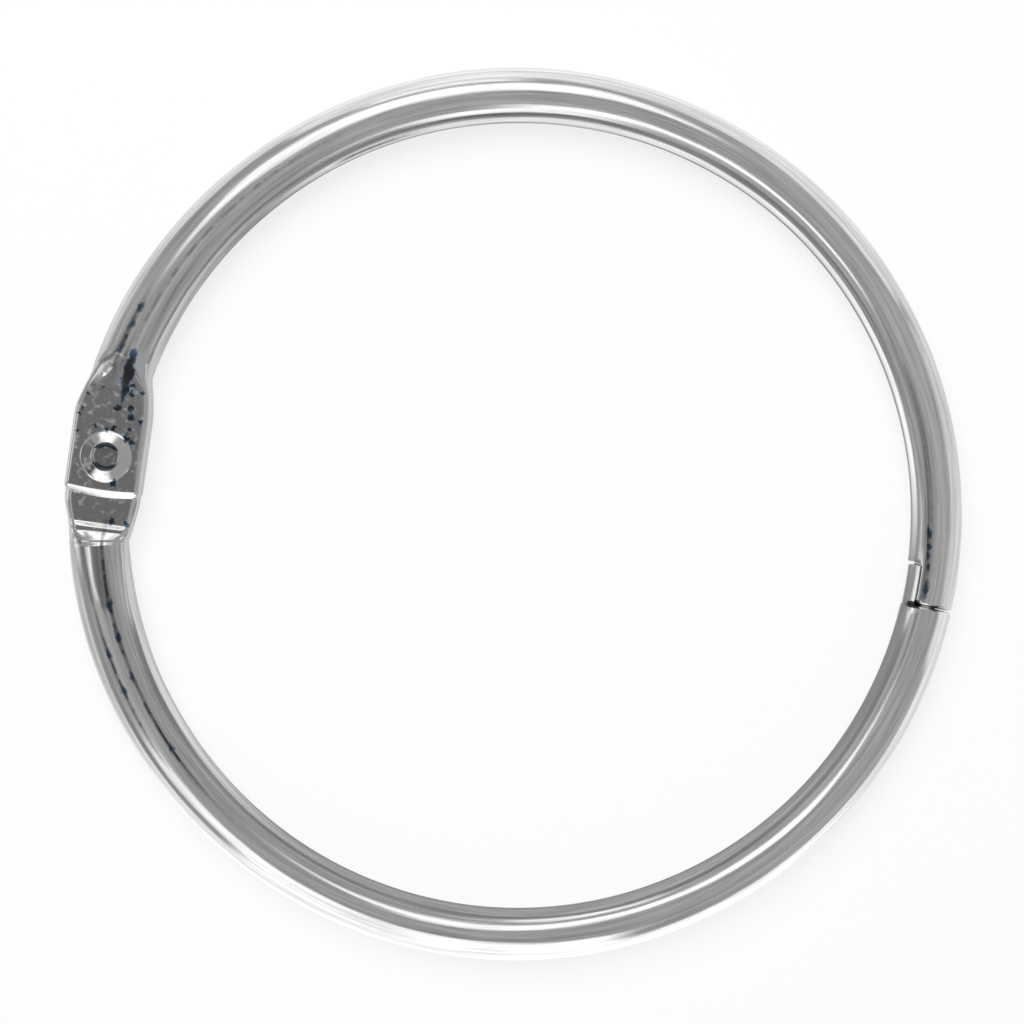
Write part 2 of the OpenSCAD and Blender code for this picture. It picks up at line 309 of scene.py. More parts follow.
class Sheet:
    """Two grids of points, outer and inner, of which only some cells are metal."""

    def __init__(self, rows, columns, point, metal):
        self.rows, self.columns = rows, columns
        self.sides = [
            np.array([[point(r, c, inner) for c in columns] for r in rows], float) for inner in (False, True)
        ]
        self.metal = {
            (r, c)
            for r in range(len(rows) - 1)
            for c in range(len(columns) - 1)
            if metal(rows[r], rows[r + 1], columns[c], columns[c + 1])
        }

    def borders(self):
        """Edges that only one metal cell has, as (corner, corner, cell)."""
        seen = {}
        for r, c in self.metal:
            ring = cell_corners(r, c)
            for a, b in zip(ring, ring[1:] + ring[:1]):
                seen.setdefault(frozenset((a, b)), []).append((a, b, (r, c)))
        return [v[0] for v in seen.values() if len(v) == 1]

    def outward(self, borders):
        """For each corner on a border, the way out of the metal, long enough for a mitre."""
        outer, inner = self.sides
        ways = {}
        for a, b, (r, c) in borders:
            edge = unit(outer[b] - outer[a])
            through = unit((outer[a] + outer[b] - inner[a] - inner[b]) / 2)
            middle = sum(outer[k] for k in cell_corners(r, c)) / 4
            way = (outer[a] + outer[b]) / 2 - middle
            way = way - (way @ edge) * edge - (way @ through) * through
            for corner in (a, b):
                ways.setdefault(corner, []).append(unit(way))
        out = {}
        for corner, found in ways.items():
            first, last = found[0], found[-1]
            out[corner] = (first + last) / max(MITRE_LIMIT, 1 + first @ last)
        return out

    def mesh(self, name, side):
        """A closed mesh with its rims rounded, which keeps each vertex's run, turn and side of the hinge."""
        borders = self.borders()
        ways = self.outward(borders)
        vertices, grain, rims = [], [], {}
        index = {}
        outer, inner = self.sides

        def add(corner, position):
            vertices.append(position * MM)
            row, column = self.rows[corner[0]], self.columns[corner[1]]
            grain.append((run_of(row), column[0] * math.radians(column[3]) * TUBE_R, side))
            return len(vertices) - 1

        for corner in sorted({k for cell in self.metal for k in cell_corners(*cell)}):
            o, i = outer[corner], inner[corner]
            if corner not in ways:
                index[corner] = add(corner, o), add(corner, i)
                continue
            radius = min(RIM_ROUND, RIM_SHARE * np.linalg.norm(i - o))
            through, way = unit(i - o), ways[corner]
            ring = []
            for q in (0, 30, 60, 90):
                back = radius * (1 - math.sin(math.radians(q)))
                deep = radius * (1 - math.cos(math.radians(q)))
                ring.append((o - way * back + through * deep, i - way * back - through * deep))
            rims[corner] = [add(corner, p) for p, _ in ring] + [add(corner, p) for _, p in reversed(ring)]
            index[corner] = rims[corner][0], rims[corner][-1]

        faces = []
        for cell in sorted(self.metal):
            ring = cell_corners(*cell)
            faces.append([index[k][0] for k in ring])
            faces.append([index[k][1] for k in reversed(ring)])
        for a, b, _ in borders:
            for k in range(len(rims[a]) - 1):
                faces.append([rims[a][k], rims[a][k + 1], rims[b][k + 1], rims[b][k]])
        return closed_mesh(name, vertices, faces, grain)


def run_of(row):
    """A tongue row is (run, step), a clevis row its run alone."""
    return row[0] if isinstance(row, tuple) else row


def closed_mesh(name, vertices, faces, grain):
    """A mesh with its doubles welded and its faces turned outwards.

    grain has each vertex's run, its place round the tube in millimetres and its side of the hinge.
    """
    mesh = bpy.data.meshes.new(name)
    mesh.from_pydata([tuple(v) for v in vertices], [], faces)
    along = mesh.attributes.new("grain", "FLOAT_VECTOR", "POINT")
    along.data.foreach_set("vector", np.array(grain, np.float32).ravel())
    shape = bmesh.new()
    shape.from_mesh(mesh)
    bmesh.ops.remove_doubles(shape, verts=shape.verts, dist=WELD)
    bmesh.ops.recalc_face_normals(shape, faces=shape.faces)
    shape.to_mesh(mesh)
    shape.free()
    return mesh


# ---- Half ring with the clevis ----

CLEVIS_END = CHEEK_START + RING_R * (
    math.pi + math.radians(CLASP_ANGLE) - CLASP_GAP / 2 / RING_R - math.asin(CHEEK_START / RING_R)
)
SLOT_END = CLEVIS_END - SLOT_LEN + SLOT_CORNER
MOUTH_FADE = 3  # length past the mouth over which the stations get back in line
SLOT_FADE = 2  # length before the slot over which they get out of line
NEARLY = 1e-6


def clevis_shift(run, column):
    """How far a column's stations are moved along, round the ends of the mouth and the slot."""
    _, part, share, turn = column
    if part == "edge" and share < MOUTH_SHARE and run >= MOUTH_START:
        h = share * (CLEVIS_T / 2 - EDGE_R)
        left = 1 - between(run, MOUTH_START, MOUTH_START + MOUTH_FADE)
        return math.sqrt((CHEEK_GAP / 2) ** 2 - h * h) * left
    into_slot = math.radians(turn - (180 - SLOT_SPREAD)) * TUBE_R
    if into_slot > 0 and run <= SLOT_END:
        left = 1 - min(1.0, into_slot / SLOT_CORNER)
        return -SLOT_CORNER * math.sqrt(1 - left * left) * between(run, SLOT_END - SLOT_FADE, SLOT_END)
    return 0.0


def clevis_point(run, column, inner):
    up, part, share, _ = column
    run = run + clevis_shift(run, column)
    if run > CHEEK_START:
        radius = BORE_R if inner else TUBE_R - roll(CLEVIS_END - run, ROLLED_EDGE)
        x, y = section_point(column, radius + widening(run), radius, radius, radius, 1)
        return on_ring(flattened(x, run, 1), y, run, CHEEK_START, 1)
    press = slope(run, CHEEK_FLAT, CHEEK_START)
    flare = between(run, FLARE_START - FLARE_LEN, FLARE_START)
    corner = min(1.0, max(0.0, (CORNER_R - CHEEK_REACH - run) / CORNER_R))
    lip = min(1.0, max(0.0, (LIP_LEN - CHEEK_REACH - run) / LIP_LEN))
    thin = 1 - LIP_DROP * lip**LIP_CURVE
    a = mix(CHEEK_W / 2, TUBE_R + widening(run), flare) - CORNER_R * (1 - math.sqrt(1 - corner * corner))
    b = mix(CLEVIS_T / 2, TUBE_R, press)
    if inner:
        x, y = section_point(column, a - SHEET, b - SHEET, LEAST_R, max(FOLD_R - SHEET, LEAST_R), press)
        if run < MOUTH_REACH:
            x, y = open_cheek(column, x, y, a, b - SHEET)
    else:
        b -= SHEET * (1 - thin)
        x, y = section_point(column, a, b, EDGE_R * max(thin, LIP_LEAST_EDGE), FOLD_R * thin, press)
        if part == "edge" and share >= MOUTH_SHARE and run < MOUTH_REACH:
            y = up * max(abs(y), min(b, CHEEK_GAP / 2 + MOUTH_ROUND * thin))
    centre = centre_at(run) if run > FLARE_START else mix(0, centre_at(FLARE_START), flare)
    tilt = math.asin(run / RING_R) * between(run, CHEEK_TILT, CHEEK_START)
    bow = TIP_BOW * (x / a) ** 2 * (1 - between(run, -CHEEK_REACH, 0))
    return in_frame(x, y, run + bow, centre, tilt, 1)


def open_cheek(column, x, y, a, b):
    """Where the mouth is open, a cheek's inner face runs on to the outer margin."""
    up, part, share, _ = column
    if part == "edge" and share >= MOUTH_SHARE:
        k = (share - MOUTH_SHARE) / (1 - MOUTH_SHARE)
        return a - MOUTH_ROUND - MOUTH_STEP * k, up * b
    if part == "outer":
        return a - MOUTH_ROUND - MOUTH_STEP - MOUTH_STEP * share, up * b
    if part == "face":
        return mix(a - MOUTH_ROUND - 2 * MOUTH_STEP, x, min(1.0, share * 4)), up * b
    return x, y


def clevis_metal(row, next_row, column, next_column):
    """Whether a cell is metal: all are but those in the mouth and the slot."""
    middle_run = (row + next_row) / 2
    parts = {column[1], next_column[1]}
    share = max(abs(column[2]), abs(next_column[2]))
    turn = max(column[3], next_column[3])
    in_mouth = parts == {"edge"} and share <= MOUTH_SHARE + NEARLY and middle_run < MOUTH_START
    in_slot = turn > 180 - SLOT_SPREAD + NEARLY and middle_run > SLOT_END
    return not (in_mouth or in_slot)


def clevis_rows():
    tip = [-CHEEK_REACH + CORNER_R * (1 - math.cos(math.radians(q))) for q in range(0, 90, 8)]
    return (
        tip
        + steps(-CHEEK_REACH + CORNER_R, MOUTH_START, 22)
        + steps(MOUTH_START, CHEEK_FLAT, 20)
        + steps(CHEEK_FLAT, CHEEK_START, 28)
        + steps(CHEEK_START, SLOT_END, 170)
        + steps(SLOT_END, CLEVIS_END - ROLLED_EDGE, 8)
        + [CLEVIS_END - ROLLED_EDGE * (1 - math.sin(math.radians(q))) for q in range(0, 91, 15)]
    )


# ---- Half ring with the tongue ----

# The run of the shoulder at the clasp, which the nose stands out of
SHOULDER_RUN = SHOULDER_START + RING_R * (
    math.pi - math.radians(CLASP_ANGLE) - CLASP_GAP / 2 / RING_R - math.asin(SHOULDER_START / RING_R)
)
FLAT_H = TONGUE_T / 2
LEDGE_H = FLAT_H + STEP_H
STEEP_END = LEDGE_END + STEEP_LEN
ARC_START = STEEP_END + CROWN_LEN
ARC_END = ARC_START + ARC_LEN
# The pressed steps as (run, half thickness), and the shifts whose mean rounds their corners
PRESS = [
    (STEP_START, FLAT_H),
    (LEDGE_START, LEDGE_H),
    (LEDGE_END, LEDGE_H),
    (STEEP_END, STEEP_H),
    (ARC_START, CROWN_H),
    (ARC_END, ARC_H),
    (CROWN_END, TUBE_R),
]
PRESS_BLUR = [-0.06, -0.04, -0.02, 0.0, 0.02, 0.04, 0.06]


def tongue_thickness(run):
    """Half the tongue's thickness."""
    at, half = zip(*PRESS)
    return float(np.mean([np.interp(run + d, at, half) for d in PRESS_BLUR]))


def nose_radius(run, turn):
    land = between(turn, LAND_TURN - LAND_EASE, LAND_TURN + LAND_EASE)
    past = run - SHOULDER_RUN
    land *= 1 - between(past, LAND_LEN + LAND_FALL[0], LAND_LEN + LAND_FALL[1])
    taper = between(past - NOSE_LEN, *NOSE_TAPER_EASE) * 2 * NOSE_TAPER
    return mix(NOSE_R, LAND_R, land) - taper


def tongue_point(row, column, inner):
    """A row is (run, step); step is None up to the clasp's shoulder, and then how far its face has fallen."""
    run, step = row
    turn = column[3]
    wall = SHEET if inner else 0.0
    if run > SHOULDER_START:
        if inner:
            radius = mix(BORE_R, NOSE_BORE_R, between(run, SHOULDER_RUN - 2 * SHEET, SHOULDER_RUN - SHEET))
        elif step is None:
            radius = TUBE_R - roll(SHOULDER_RUN - run, SHOULDER_ROUND)
        else:
            radius = mix(TUBE_R - SHOULDER_ROUND, nose_radius(run, turn), step)
            radius = min(radius, TUBE_R - SHOULDER_ROUND) if step < 1 else radius
        pressed = TUBE_R - tongue_thickness(run)
        x, y = section_point(column, radius + widening(run), radius - pressed, radius, radius, 1)
        return on_ring(flattened(x, run, -1), y, run, SHOULDER_START, -1)
    taper = between(run, TAPER_END, TAPER_START)
    b = tongue_thickness(run)
    roundness = (b - FLAT_H) / (ARC_H - FLAT_H)
    if run < TAPER_END:
        a = mix(TIP_R, TONGUE_W / 2, between(run, 0, TAPER_END))
    else:
        a = mix(TONGUE_W / 2, TUBE_R + widening(run), taper)
    radius = max(SIDE_R - wall, LEAST_R)
    x, y = section_point(column, a - wall, b - wall, radius, radius, ease(roundness))
    centre = centre_at(run) if run > TAPER_START else mix(0, centre_at(TAPER_START), taper)
    tilt = math.asin(run / RING_R) * between(run, STEP_START, SHOULDER_START)
    if run < 0:
        run *= math.sqrt(max(0.0, TIP_R**2 - x * x)) / TIP_R
    return in_frame(x, y, run, centre, tilt, -1)


def tongue_rows():
    press_start, press_end = STEP_START - 0.15, SHOULDER_START + 0.1
    plain = (
        [-TIP_R * math.cos(math.radians(q)) for q in range(0, 90, 6)]
        + steps(0, press_start, 24)
        + steps(press_start, press_end, 68)
        + steps(press_end, SHOULDER_RUN - SHOULDER_ROUND, 165)
        + [SHOULDER_RUN - SHOULDER_ROUND * (1 - math.sin(math.radians(q))) for q in range(0, 91, 22)]
    )
    fall_start, fall_end = SHOULDER_RUN + LAND_LEN - 0.15, SHOULDER_RUN + LAND_LEN + 0.05
    nose = (
        steps(SHOULDER_RUN, fall_start, 10)
        + steps(fall_start, fall_end, 6)
        + steps(fall_end, SHOULDER_RUN + NOSE_LEN, 8)
        + [SHOULDER_RUN + NOSE_LEN]
    )
    return [(r, None) for r in plain] + [(SHOULDER_RUN, k) for k in (0.25, 0.6)] + [(r, 1) for r in nose]


# ---- Rivet ----


def head_height(radius):
    """Height of the rivet's bevelled head above its middle."""
    return CLEVIS_T / 2 + HEAD_FOOT + (HEAD_H - HEAD_FOOT) * (HEAD_R - radius) / (HEAD_R - RECESS_R)


def rivet_profile():
    """Half outline of the rivet, from its axis out, above its middle: (radius, height)."""
    lip = head_height(RECESS_R + LIP_R)
    floor = head_height(RECESS_R) - RECESS_DEPTH
    outline = [(radius, floor) for radius in (0.0, 0.4, 0.6)]
    for q in map(math.radians, range(0, 91, 10)):
        outline.append((RECESS_R - BOWL_R + BOWL_R * math.sin(q), floor + BOWL_R * (1 - math.cos(q))))
    for q in map(math.radians, range(0, 80, 15)):
        outline.append((RECESS_R + LIP_R * (1 - math.cos(q)), lip - LIP_R * (1 - math.sin(q))))
    for radius in steps(RECESS_R + LIP_R, HEAD_R - HEAD_EASE, 12):
        outline.append((radius, head_height(radius)))
    for k in (0, 0.3, 0.6, 0.85):
        radius = HEAD_R - HEAD_EASE * (1 - k)
        outline.append((radius, head_height(radius) - HEAD_FOOT * k * k))
    return outline + [(HEAD_R, CLEVIS_T / 2), (SHANK_R, CLEVIS_T / 2), (SHANK_R, 0.0)]


def rivet_mesh():
    upper = rivet_profile()
    outline = upper + [(r, -h) for r, h in reversed(upper[:-1])]
    vertices, faces = [], []
    for r, h in outline[1:-1]:
        for k in range(RIVET_SEGMENTS):
            q = 2 * math.pi * k / RIVET_SEGMENTS
            vertices.append(Vector((-PIVOT_R + r * math.cos(q), r * math.sin(q), TUBE_R + h)) * MM)
    for i in range(len(outline) - 3):
        for k in range(RIVET_SEGMENTS):
            a, b = i * RIVET_SEGMENTS + k, i * RIVET_SEGMENTS + (k + 1) % RIVET_SEGMENTS
            faces.append([a, b, b + RIVET_SEGMENTS, a + RIVET_SEGMENTS])
    for end, h in ((0, outline[0][1]), (len(outline) - 3, outline[-1][1])):
        vertices.append(Vector((-PIVOT_R, 0, TUBE_R + h)) * MM)
        for k in range(RIVET_SEGMENTS):
            a, b = end * RIVET_SEGMENTS + k, end * RIVET_SEGMENTS + (k + 1) % RIVET_SEGMENTS
            faces.append([a, b, len(vertices) - 1])
    return closed_mesh("rivet", vertices, faces, [(0.0, 0.0, 0.0) for _ in vertices])


# ---- Making pieces ----

SHARP_ANGLE = math.radians(50)
HOLE_SIDES = 96


def drill(piece, radius):
    """Cuts the rivet's hole through a piece."""
    pivot = (-PIVOT_R * MM, 0, TUBE_R * MM)
    bpy.ops.mesh.primitive_cylinder_add(
        vertices=HOLE_SIDES, radius=radius * MM, depth=4 * TUBE_R * MM, location=pivot
    )
    cutter = bpy.context.object
    cut = piece.modifiers.new("hole", "BOOLEAN")
    cut.operation, cut.solver, cut.object = "DIFFERENCE", "EXACT", cutter
    bake_modifiers(piece)
    bpy.data.objects.remove(cutter)


def bake_modifiers(piece):
    depsgraph = bpy.context.evaluated_depsgraph_get()
    made = piece.evaluated_get(depsgraph)
    mesh = bpy.data.meshes.new_from_object(made, preserve_all_data_layers=True, depsgraph=depsgraph)
    old = piece.data
    piece.modifiers.clear()
    piece.data = mesh
    bpy.data.meshes.remove(old)


def make_piece(name, mesh, body, node, material):
    piece = bpy.data.objects.new(name, mesh)
    bpy.context.scene.collection.objects.link(piece)
    piece.data.materials.append(material)
    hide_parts(node)
    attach(piece, body)
    return piece


def smooth(piece):
    mesh = piece.data
    mesh.polygons.foreach_set("use_smooth", [True] * len(mesh.polygons))
    mesh.set_sharp_from_angle(angle=SHARP_ANGLE)
    weighted = piece.modifiers.new("normals", "WEIGHTED_NORMAL")
    weighted.keep_sharp = True
    weighted.weight = 50
    bake_modifiers(piece)


# ---- Materials ----


class Nodes:
    """Short ways to add and join shader nodes."""

    def __init__(self, owner):
        owner.use_nodes = True
        self.tree = owner.node_tree
        self.tree.nodes.clear()

    def add(self, kind, inputs=None, **settings):
        node = self.tree.nodes.new(kind)
        for name, value in settings.items():
            setattr(node, name, value)
        for key, value in (inputs or {}).items():
            self.put(node.inputs[key], value)
        return node

    def put(self, socket, value):
        if isinstance(value, bpy.types.NodeSocket):
            self.tree.links.new(value, socket)
        else:
            socket.default_value = value

    def math(self, operation, *values):
        return self.add("ShaderNodeMath", dict(enumerate(values)), operation=operation).outputs[0]

    def times(self, *values):
        return reduce(partial(self.math, "MULTIPLY"), values)

    def plus(self, *values):
        return reduce(partial(self.math, "ADD"), values)

    def most(self, *values):
        return reduce(partial(self.math, "MAXIMUM"), values)

    def minus(self, a, b):
        return self.math("SUBTRACT", a, b)

    def size(self, value):
        return self.math("ABSOLUTE", value)

    def vector(self, operation, *values):
        node = self.add("ShaderNodeVectorMath", dict(enumerate(values)), operation=operation)
        return node.outputs["Value" if operation in ("DOT_PRODUCT", "LENGTH", "DISTANCE") else "Vector"]

    def joined(self, x, y, z=0.0):
        return self.add("ShaderNodeCombineXYZ", {0: x, 1: y, 2: z}).outputs[0]

    def parts(self, vector):
        return tuple(self.add("ShaderNodeSeparateXYZ", {0: vector}).outputs)

    def scaled(self, value, start, end):
        """From 0 at start to 1 at end, smoothly."""
        limits = {"From Min": min(start, end), "From Max": max(start, end)}
        made = self.add("ShaderNodeMapRange", {"Value": value, **limits}, interpolation_type="SMOOTHSTEP")
        made = made.outputs["Result"]
        return made if start < end else self.minus(1.0, made)

    def ramp(self, value, stops):
        """A colour for a value from 0 to 1; a stop is (value, colour)."""
        made = self.add("ShaderNodeValToRGB", {"Fac": value})
        elements = made.color_ramp.elements
        for k, (at, colour) in enumerate(stops):
            stop = elements[k] if k < 2 else elements.new(at)
            stop.position, stop.color = at, (*colour, 1)
        return made.outputs["Color"]


def noise(n, vector, scales, detail, roughness=0.5, output="Fac"):
    """Noise over a vector in millimetres; scales are its waves per millimetre along each axis."""
    place = n.vector("MULTIPLY", vector, scales)
    inputs = {"Vector": place, "Scale": 1.0, "Detail": detail, "Roughness": roughness}
    return n.add("ShaderNodeTexNoise", inputs).outputs[output]


def moved(fades, at):
    return tuple(at + fade for fade in fades)


def hinge_place(n):
    """A place in millimetres, and how far it lies along the ring and outward from the hinge's pivot."""
    position = n.vector("MULTIPLY", n.add("ShaderNodeTexCoord").outputs["Object"], (1 / MM, 1 / MM, 1 / MM))
    x, y, _ = n.parts(position)
    return position, y, n.minus(-PIVOT_R, x)


# Colour and roughness of the plating, colours of a speck's rim and middle, and the stain that has the rim's
NICKEL = ((0.75, 0.75, 0.75), 0.16)
RIVET_NICKEL = ((0.72, 0.72, 0.72), 0.112)
SPOT_BLUE = (0.12, 0.26, 0.46)
SPOT_DARK = (0.1, 0.1, 0.1)
RIM_STAIN = 0.38

# Dark specks on the flats: (along, outward, radius), in millimetres from the pivot
SPOTS = [
    (5.5, 1.0, 0.13),
    (4.9, 2.1, 0.16),
    (3.6, 2.4, 0.15),
    (3.2, 2.6, 0.14),
    (1.8, 2.6, 0.15),
    (2.3, 1.2, 0.13),
    (4.0, -0.4, 0.3),
    (4.05, -1.5, 0.32),
    (3.4, -1.6, 0.28),
    (3.1, -2.4, 0.21),
    (2.4, -1.6, 0.16),
    (1.7, -1.5, 0.32),
    (1.35, -1.95, 0.22),
    (6.0, -1.4, 0.2),
    (5.25, -1.4, 0.22),
    (5.5, -2.25, 0.2),
    (2.2, 0.25, 0.2),
    (2.35, -0.3, 0.22),
    (-2.05, -0.9, 0.3),
    (-5.15, -1.1, 0.28),
    (-5.2, -2.3, 0.2),
]
# The noise that moves their edges, how far it does so, and how deep inside them they get dark
SPOT_RIPPLE = (2.6, 2.6, 2.6)
SPOT_WANDER = (0.7, 0.7, 0.0)
SPOT_EDGE = (-0.06, 0.14)


def spots(n, along, outward, position):
    """How dark the specks make a place: ragged round patches."""
    ripple = noise(n, position, SPOT_RIPPLE, 1.0, output="Color")
    wander = n.vector("MULTIPLY", n.vector("SUBTRACT", ripple, (0.5, 0.5, 0.5)), SPOT_WANDER)
    place = n.vector("ADD", n.joined(along, outward), wander)
    deepest = n.most(-1.0, *(n.minus(r, n.vector("DISTANCE", place, (s, x, 0.0))) for s, x, r in SPOTS))
    return n.scaled(deepest, *SPOT_EDGE)


# The crease's two ends (along, outward), how far past and short of them it fades, and half its width
CREASE = ((6.5, 1.15), (7.5, 0.45))
CREASE_FADE = (0.15, -0.35)
CREASE_HALF = 0.26


def crease(n, along, outward):
    """A short ridge that the press left on the slope to the tube."""
    start, end = map(Vector, CREASE)
    way = (end - start).normalized()
    middle, half = (start + end) / 2, (end - start).length / 2
    place = n.vector("SUBTRACT", n.joined(along, outward), (*middle, 0.0))
    down = n.size(n.vector("DOT_PRODUCT", place, (way.x, way.y, 0.0)))
    side = n.size(n.vector("DOT_PRODUCT", place, (-way.y, way.x, 0.0)))
    return n.times(n.scaled(down, *moved(CREASE_FADE, half)), n.scaled(side, CREASE_HALF, 0.0))


# Dark specks on the tubes: (1 clevis or -1 tongue, degrees round the ring from the hinge, turn, radius)
TUBE_SPOTS = [
    (1, 174.7, 112, 0.24),
    (1, 176.5, 110, 0.18),
    (1, 177.7, 110, 0.2),
    (1, 179.2, 108, 0.18),
    (1, 182.3, 105, 0.3),
    (1, 14.8, 77, 0.2),
    (1, 18.2, 77, 0.2),
    (1, 20.8, 77, 0.22),
    (-1, 20.5, 100, 0.24),
    (-1, 25, 100, 0.24),
    (-1, 31, 100, 0.18),
    (-1, 42, 100, 0.2),
    (-1, 27, 73, 0.2),
    (-1, 32, 73, 0.18),
]
SPOT_STRETCH = 0.42  # their width over their length along the tube
TUBE_SPOT_RIPPLE = (1.6, 3.2, 1.0)
TUBE_SPOT_WANDER = 0.5
TUBE_SPOT_EDGE = (-0.1, 0.16)


def tube_spots(n, grain):
    """How dark the tube's own specks make a place: short ragged strokes along it."""
    darkening = 0.0
    place = n.vector("MULTIPLY", grain, (SPOT_STRETCH, 1.0, 1.0))
    ragged = n.times(n.minus(noise(n, grain, TUBE_SPOT_RIPPLE, 1.0), 0.5), TUBE_SPOT_WANDER)
    for side, degrees, turn, radius in TUBE_SPOTS:
        middle = (SPOT_STRETCH * math.radians(degrees) * RING_R, math.radians(turn) * TUBE_R, side)
        off = n.plus(n.vector("DISTANCE", place, middle), ragged)
        darkening = n.most(darkening, n.scaled(n.minus(radius, off), *TUBE_SPOT_EDGE))
    return darkening


# Painted dark reflections, drawn as broken dark lines: side of the hinge (1 clevis, -1 tongue), turn, the
# degrees from the hinge they run over, half their width, and how much of the light they take in their gaps and
# in their dashes
DARK_LINES = [
    (1, 77, 11, 25, 0.26, 0.6, 0.92),
    (1, 98, 15, 60, 0.2, 0.2, 0.45),
    (1, 157, 54, 70, 0.3, 0.6, 0.7),
    (1, 108.5, 150, 192, 0.26, 0.3, 0.4),
    (-1, 100, 8, 52, 0.2, 0.35, 0.75),
    (-1, 73, 23, 44, 0.18, 0.4, 0.75),
]
LINE_IN, LINE_OUT = (-0.5, 2), (0.5, -5)  # over which a line fades, past its start and past its end
LINE_CORE = 0.2  # share of its width at full strength
DASHES = (1.5, 0.9, 1.0)
DASH_EDGE = (0.42, 0.62)
# Painted shade beside the clasp's joint: the turns it runs over, how far it reaches and how much of the light
# it takes
SEAM_SHADE = [(109, 150, 0.3, 0.95), (64, 84, 0.2, 0.9), (44, 66, 0.12, 0.6)]
SEAM_SHADE_IN, SEAM_SHADE_OUT = (-0.15, 0.25), (0.3, -0.3)
SEAM_SHADE_RIPPLE = (1.0, 2.2, 1.0)
SEAM_SHADE_LEAST, SEAM_SHADE_MORE = 0.6, 0.8  # of its reach, what it always has and what noise adds
SEAM_SHADE_EDGE = (-0.03, 0.1)


def on_half(n, half, side):
    """1 on the half ring of that side of the hinge; half is the grain's third value."""
    return n.math("GREATER_THAN", n.times(half, side), 0.5)


def painted_shade(n, grain):
    """The part of the light that painted shade takes: dark reflections painted as lines along the tube, and
    painted shade beside the clasp's joint.
    """
    run, turn, half = n.parts(grain)
    taken = 0.0
    broken = n.scaled(noise(n, grain, DASHES, 1.0), *DASH_EDGE)
    for side, line_turn, start, end, wide, gap, dash in DARK_LINES:
        off = n.size(n.minus(turn, math.radians(line_turn) * TUBE_R))
        line = n.times(
            n.scaled(run, *moved(LINE_IN, math.radians(start) * RING_R)),
            n.scaled(run, *moved(LINE_OUT, math.radians(end) * RING_R)),
            n.scaled(off, wide, wide * LINE_CORE),
            on_half(n, half, side),
            n.plus(gap, n.times(broken, dash - gap)),
        )
        taken = n.most(taken, line)
    joint = n.plus(SHOULDER_RUN, n.times(on_half(n, half, 1), CLEVIS_END - SHOULDER_RUN))
    from_joint = n.size(n.minus(run, joint))
    ragged = n.plus(SEAM_SHADE_LEAST, n.times(noise(n, grain, SEAM_SHADE_RIPPLE, 2.0), SEAM_SHADE_MORE))
    for low, high, reach, dark in SEAM_SHADE:
        band = n.times(
            n.scaled(turn, *moved(SEAM_SHADE_IN, math.radians(low) * TUBE_R)),
            n.scaled(turn, *moved(SEAM_SHADE_OUT, math.radians(high) * TUBE_R)),
        )
        near = n.scaled(n.minus(n.times(ragged, reach), from_joint), *SEAM_SHADE_EDGE)
        taken = n.most(taken, n.times(band, near, dark))
    return taken


# The crest line: its slant outward, half its width, of which it has 1.3 times until it thins out to 0.3 times,
# and the places along the ring over which it widens, thins out and begins
CREST_SLANT = 0.12
CREST_HALF, CREST_MOST = 0.34, 1.3
CREST_WIDENS, CREST_THINS, CREST_BEGINS = (4.0, 6.4), (7.5, 9.6), (3.9, 4.6)
# The noise that moves its edge, how far it does so, the noise that leaves the edge in place, and what is added
CREST_RIPPLE, CREST_WANDER, CREST_LEVEL, CREST_MORE = (2.6, 1.4, 2.6), 0.9, 0.62, 0.04
CREST_EDGE = (-0.1, 0.14)


def crest_line(n, position, along, outward):
    """The ragged dark line up the slope from the clevis to the top of the tube."""
    across = n.size(n.plus(outward, CREST_SLANT, n.times(along, CREST_SLANT)))
    ragged = noise(n, position, CREST_RIPPLE, 2.0, 0.55)
    thins = n.minus(CREST_MOST, n.scaled(along, *CREST_THINS))
    half = n.times(n.scaled(along, *CREST_WIDENS), thins, CREST_HALF)
    half = n.minus(half, n.times(n.minus(CREST_LEVEL, ragged), CREST_WANDER))
    inside = n.scaled(n.minus(n.plus(half, CREST_MORE), across), *CREST_EDGE)
    return n.times(inside, n.scaled(along, *CREST_BEGINS))


# Radii over which the painted shade in the recess's corner fades in and out, and how far along from the pivot
# it begins
RECESS_IN, RECESS_OUT, RECESS_SIDES = (0.72, 0.95), (1.16, 1.1), (0.45, 0.75)


def recess_painted_shade(n, along, outward):
    """Painted shade in the corner of the rivet's recess, on the sides that lie along the ring."""
    radius = n.math("SQRT", n.plus(n.times(along, along), n.times(outward, outward)))
    ring = n.times(n.scaled(radius, *RECESS_IN), n.scaled(radius, *RECESS_OUT))
    return n.times(ring, n.scaled(n.size(along), *RECESS_SIDES))


# Noises of the plating: waves per millimetre along and round the tube, of which the third sets the halves
# apart, detail and roughness. The blotches' waves are along the frame's axes
WAVE = ((0.05, 0.4, 1.0), 1.0)
STREAKS = ((0.12, 3.6, 1.0), 3.0, 0.65)
BANDS = ((0.015, 1.2, 1.0), 1.0)
BLOTCHES = ((1.9, 1.9, 1.9), 1.0)
# How deep the bumps are, in metres
WAVE_DEEP, STREAK_DEEP, CREASE_DEEP = 0.00009, 0.000007, 0.0001
# The flats are everything near the pivot that the press has flattened: where they fade on the clevis half, on
# the tongue half and inward
FLAT_CLEVIS, FLAT_TONGUE, FLAT_INNER = (9.6, 8.0), (-7.6, -6.4), (-6.0, -4.5)
# Worn blotches on them: the noise over which they fade in, where on the clevis they end, and their roughness
BLOTCH_EDGE, BLOTCH_END, BLOTCH_ROUGH = (0.5, 0.76), (6.2, 5.2), 0.21
# How strong the bands and all the drawn lines are, and their middle level
BAND_SHARE, LINE_STRENGTH, LINE_MIDDLE = 0.9, 1.1, 0.95
# How blue and how dark the tubes' specks are
SPECK_STAIN, SPECK_DIRT = 0.32, 0.64


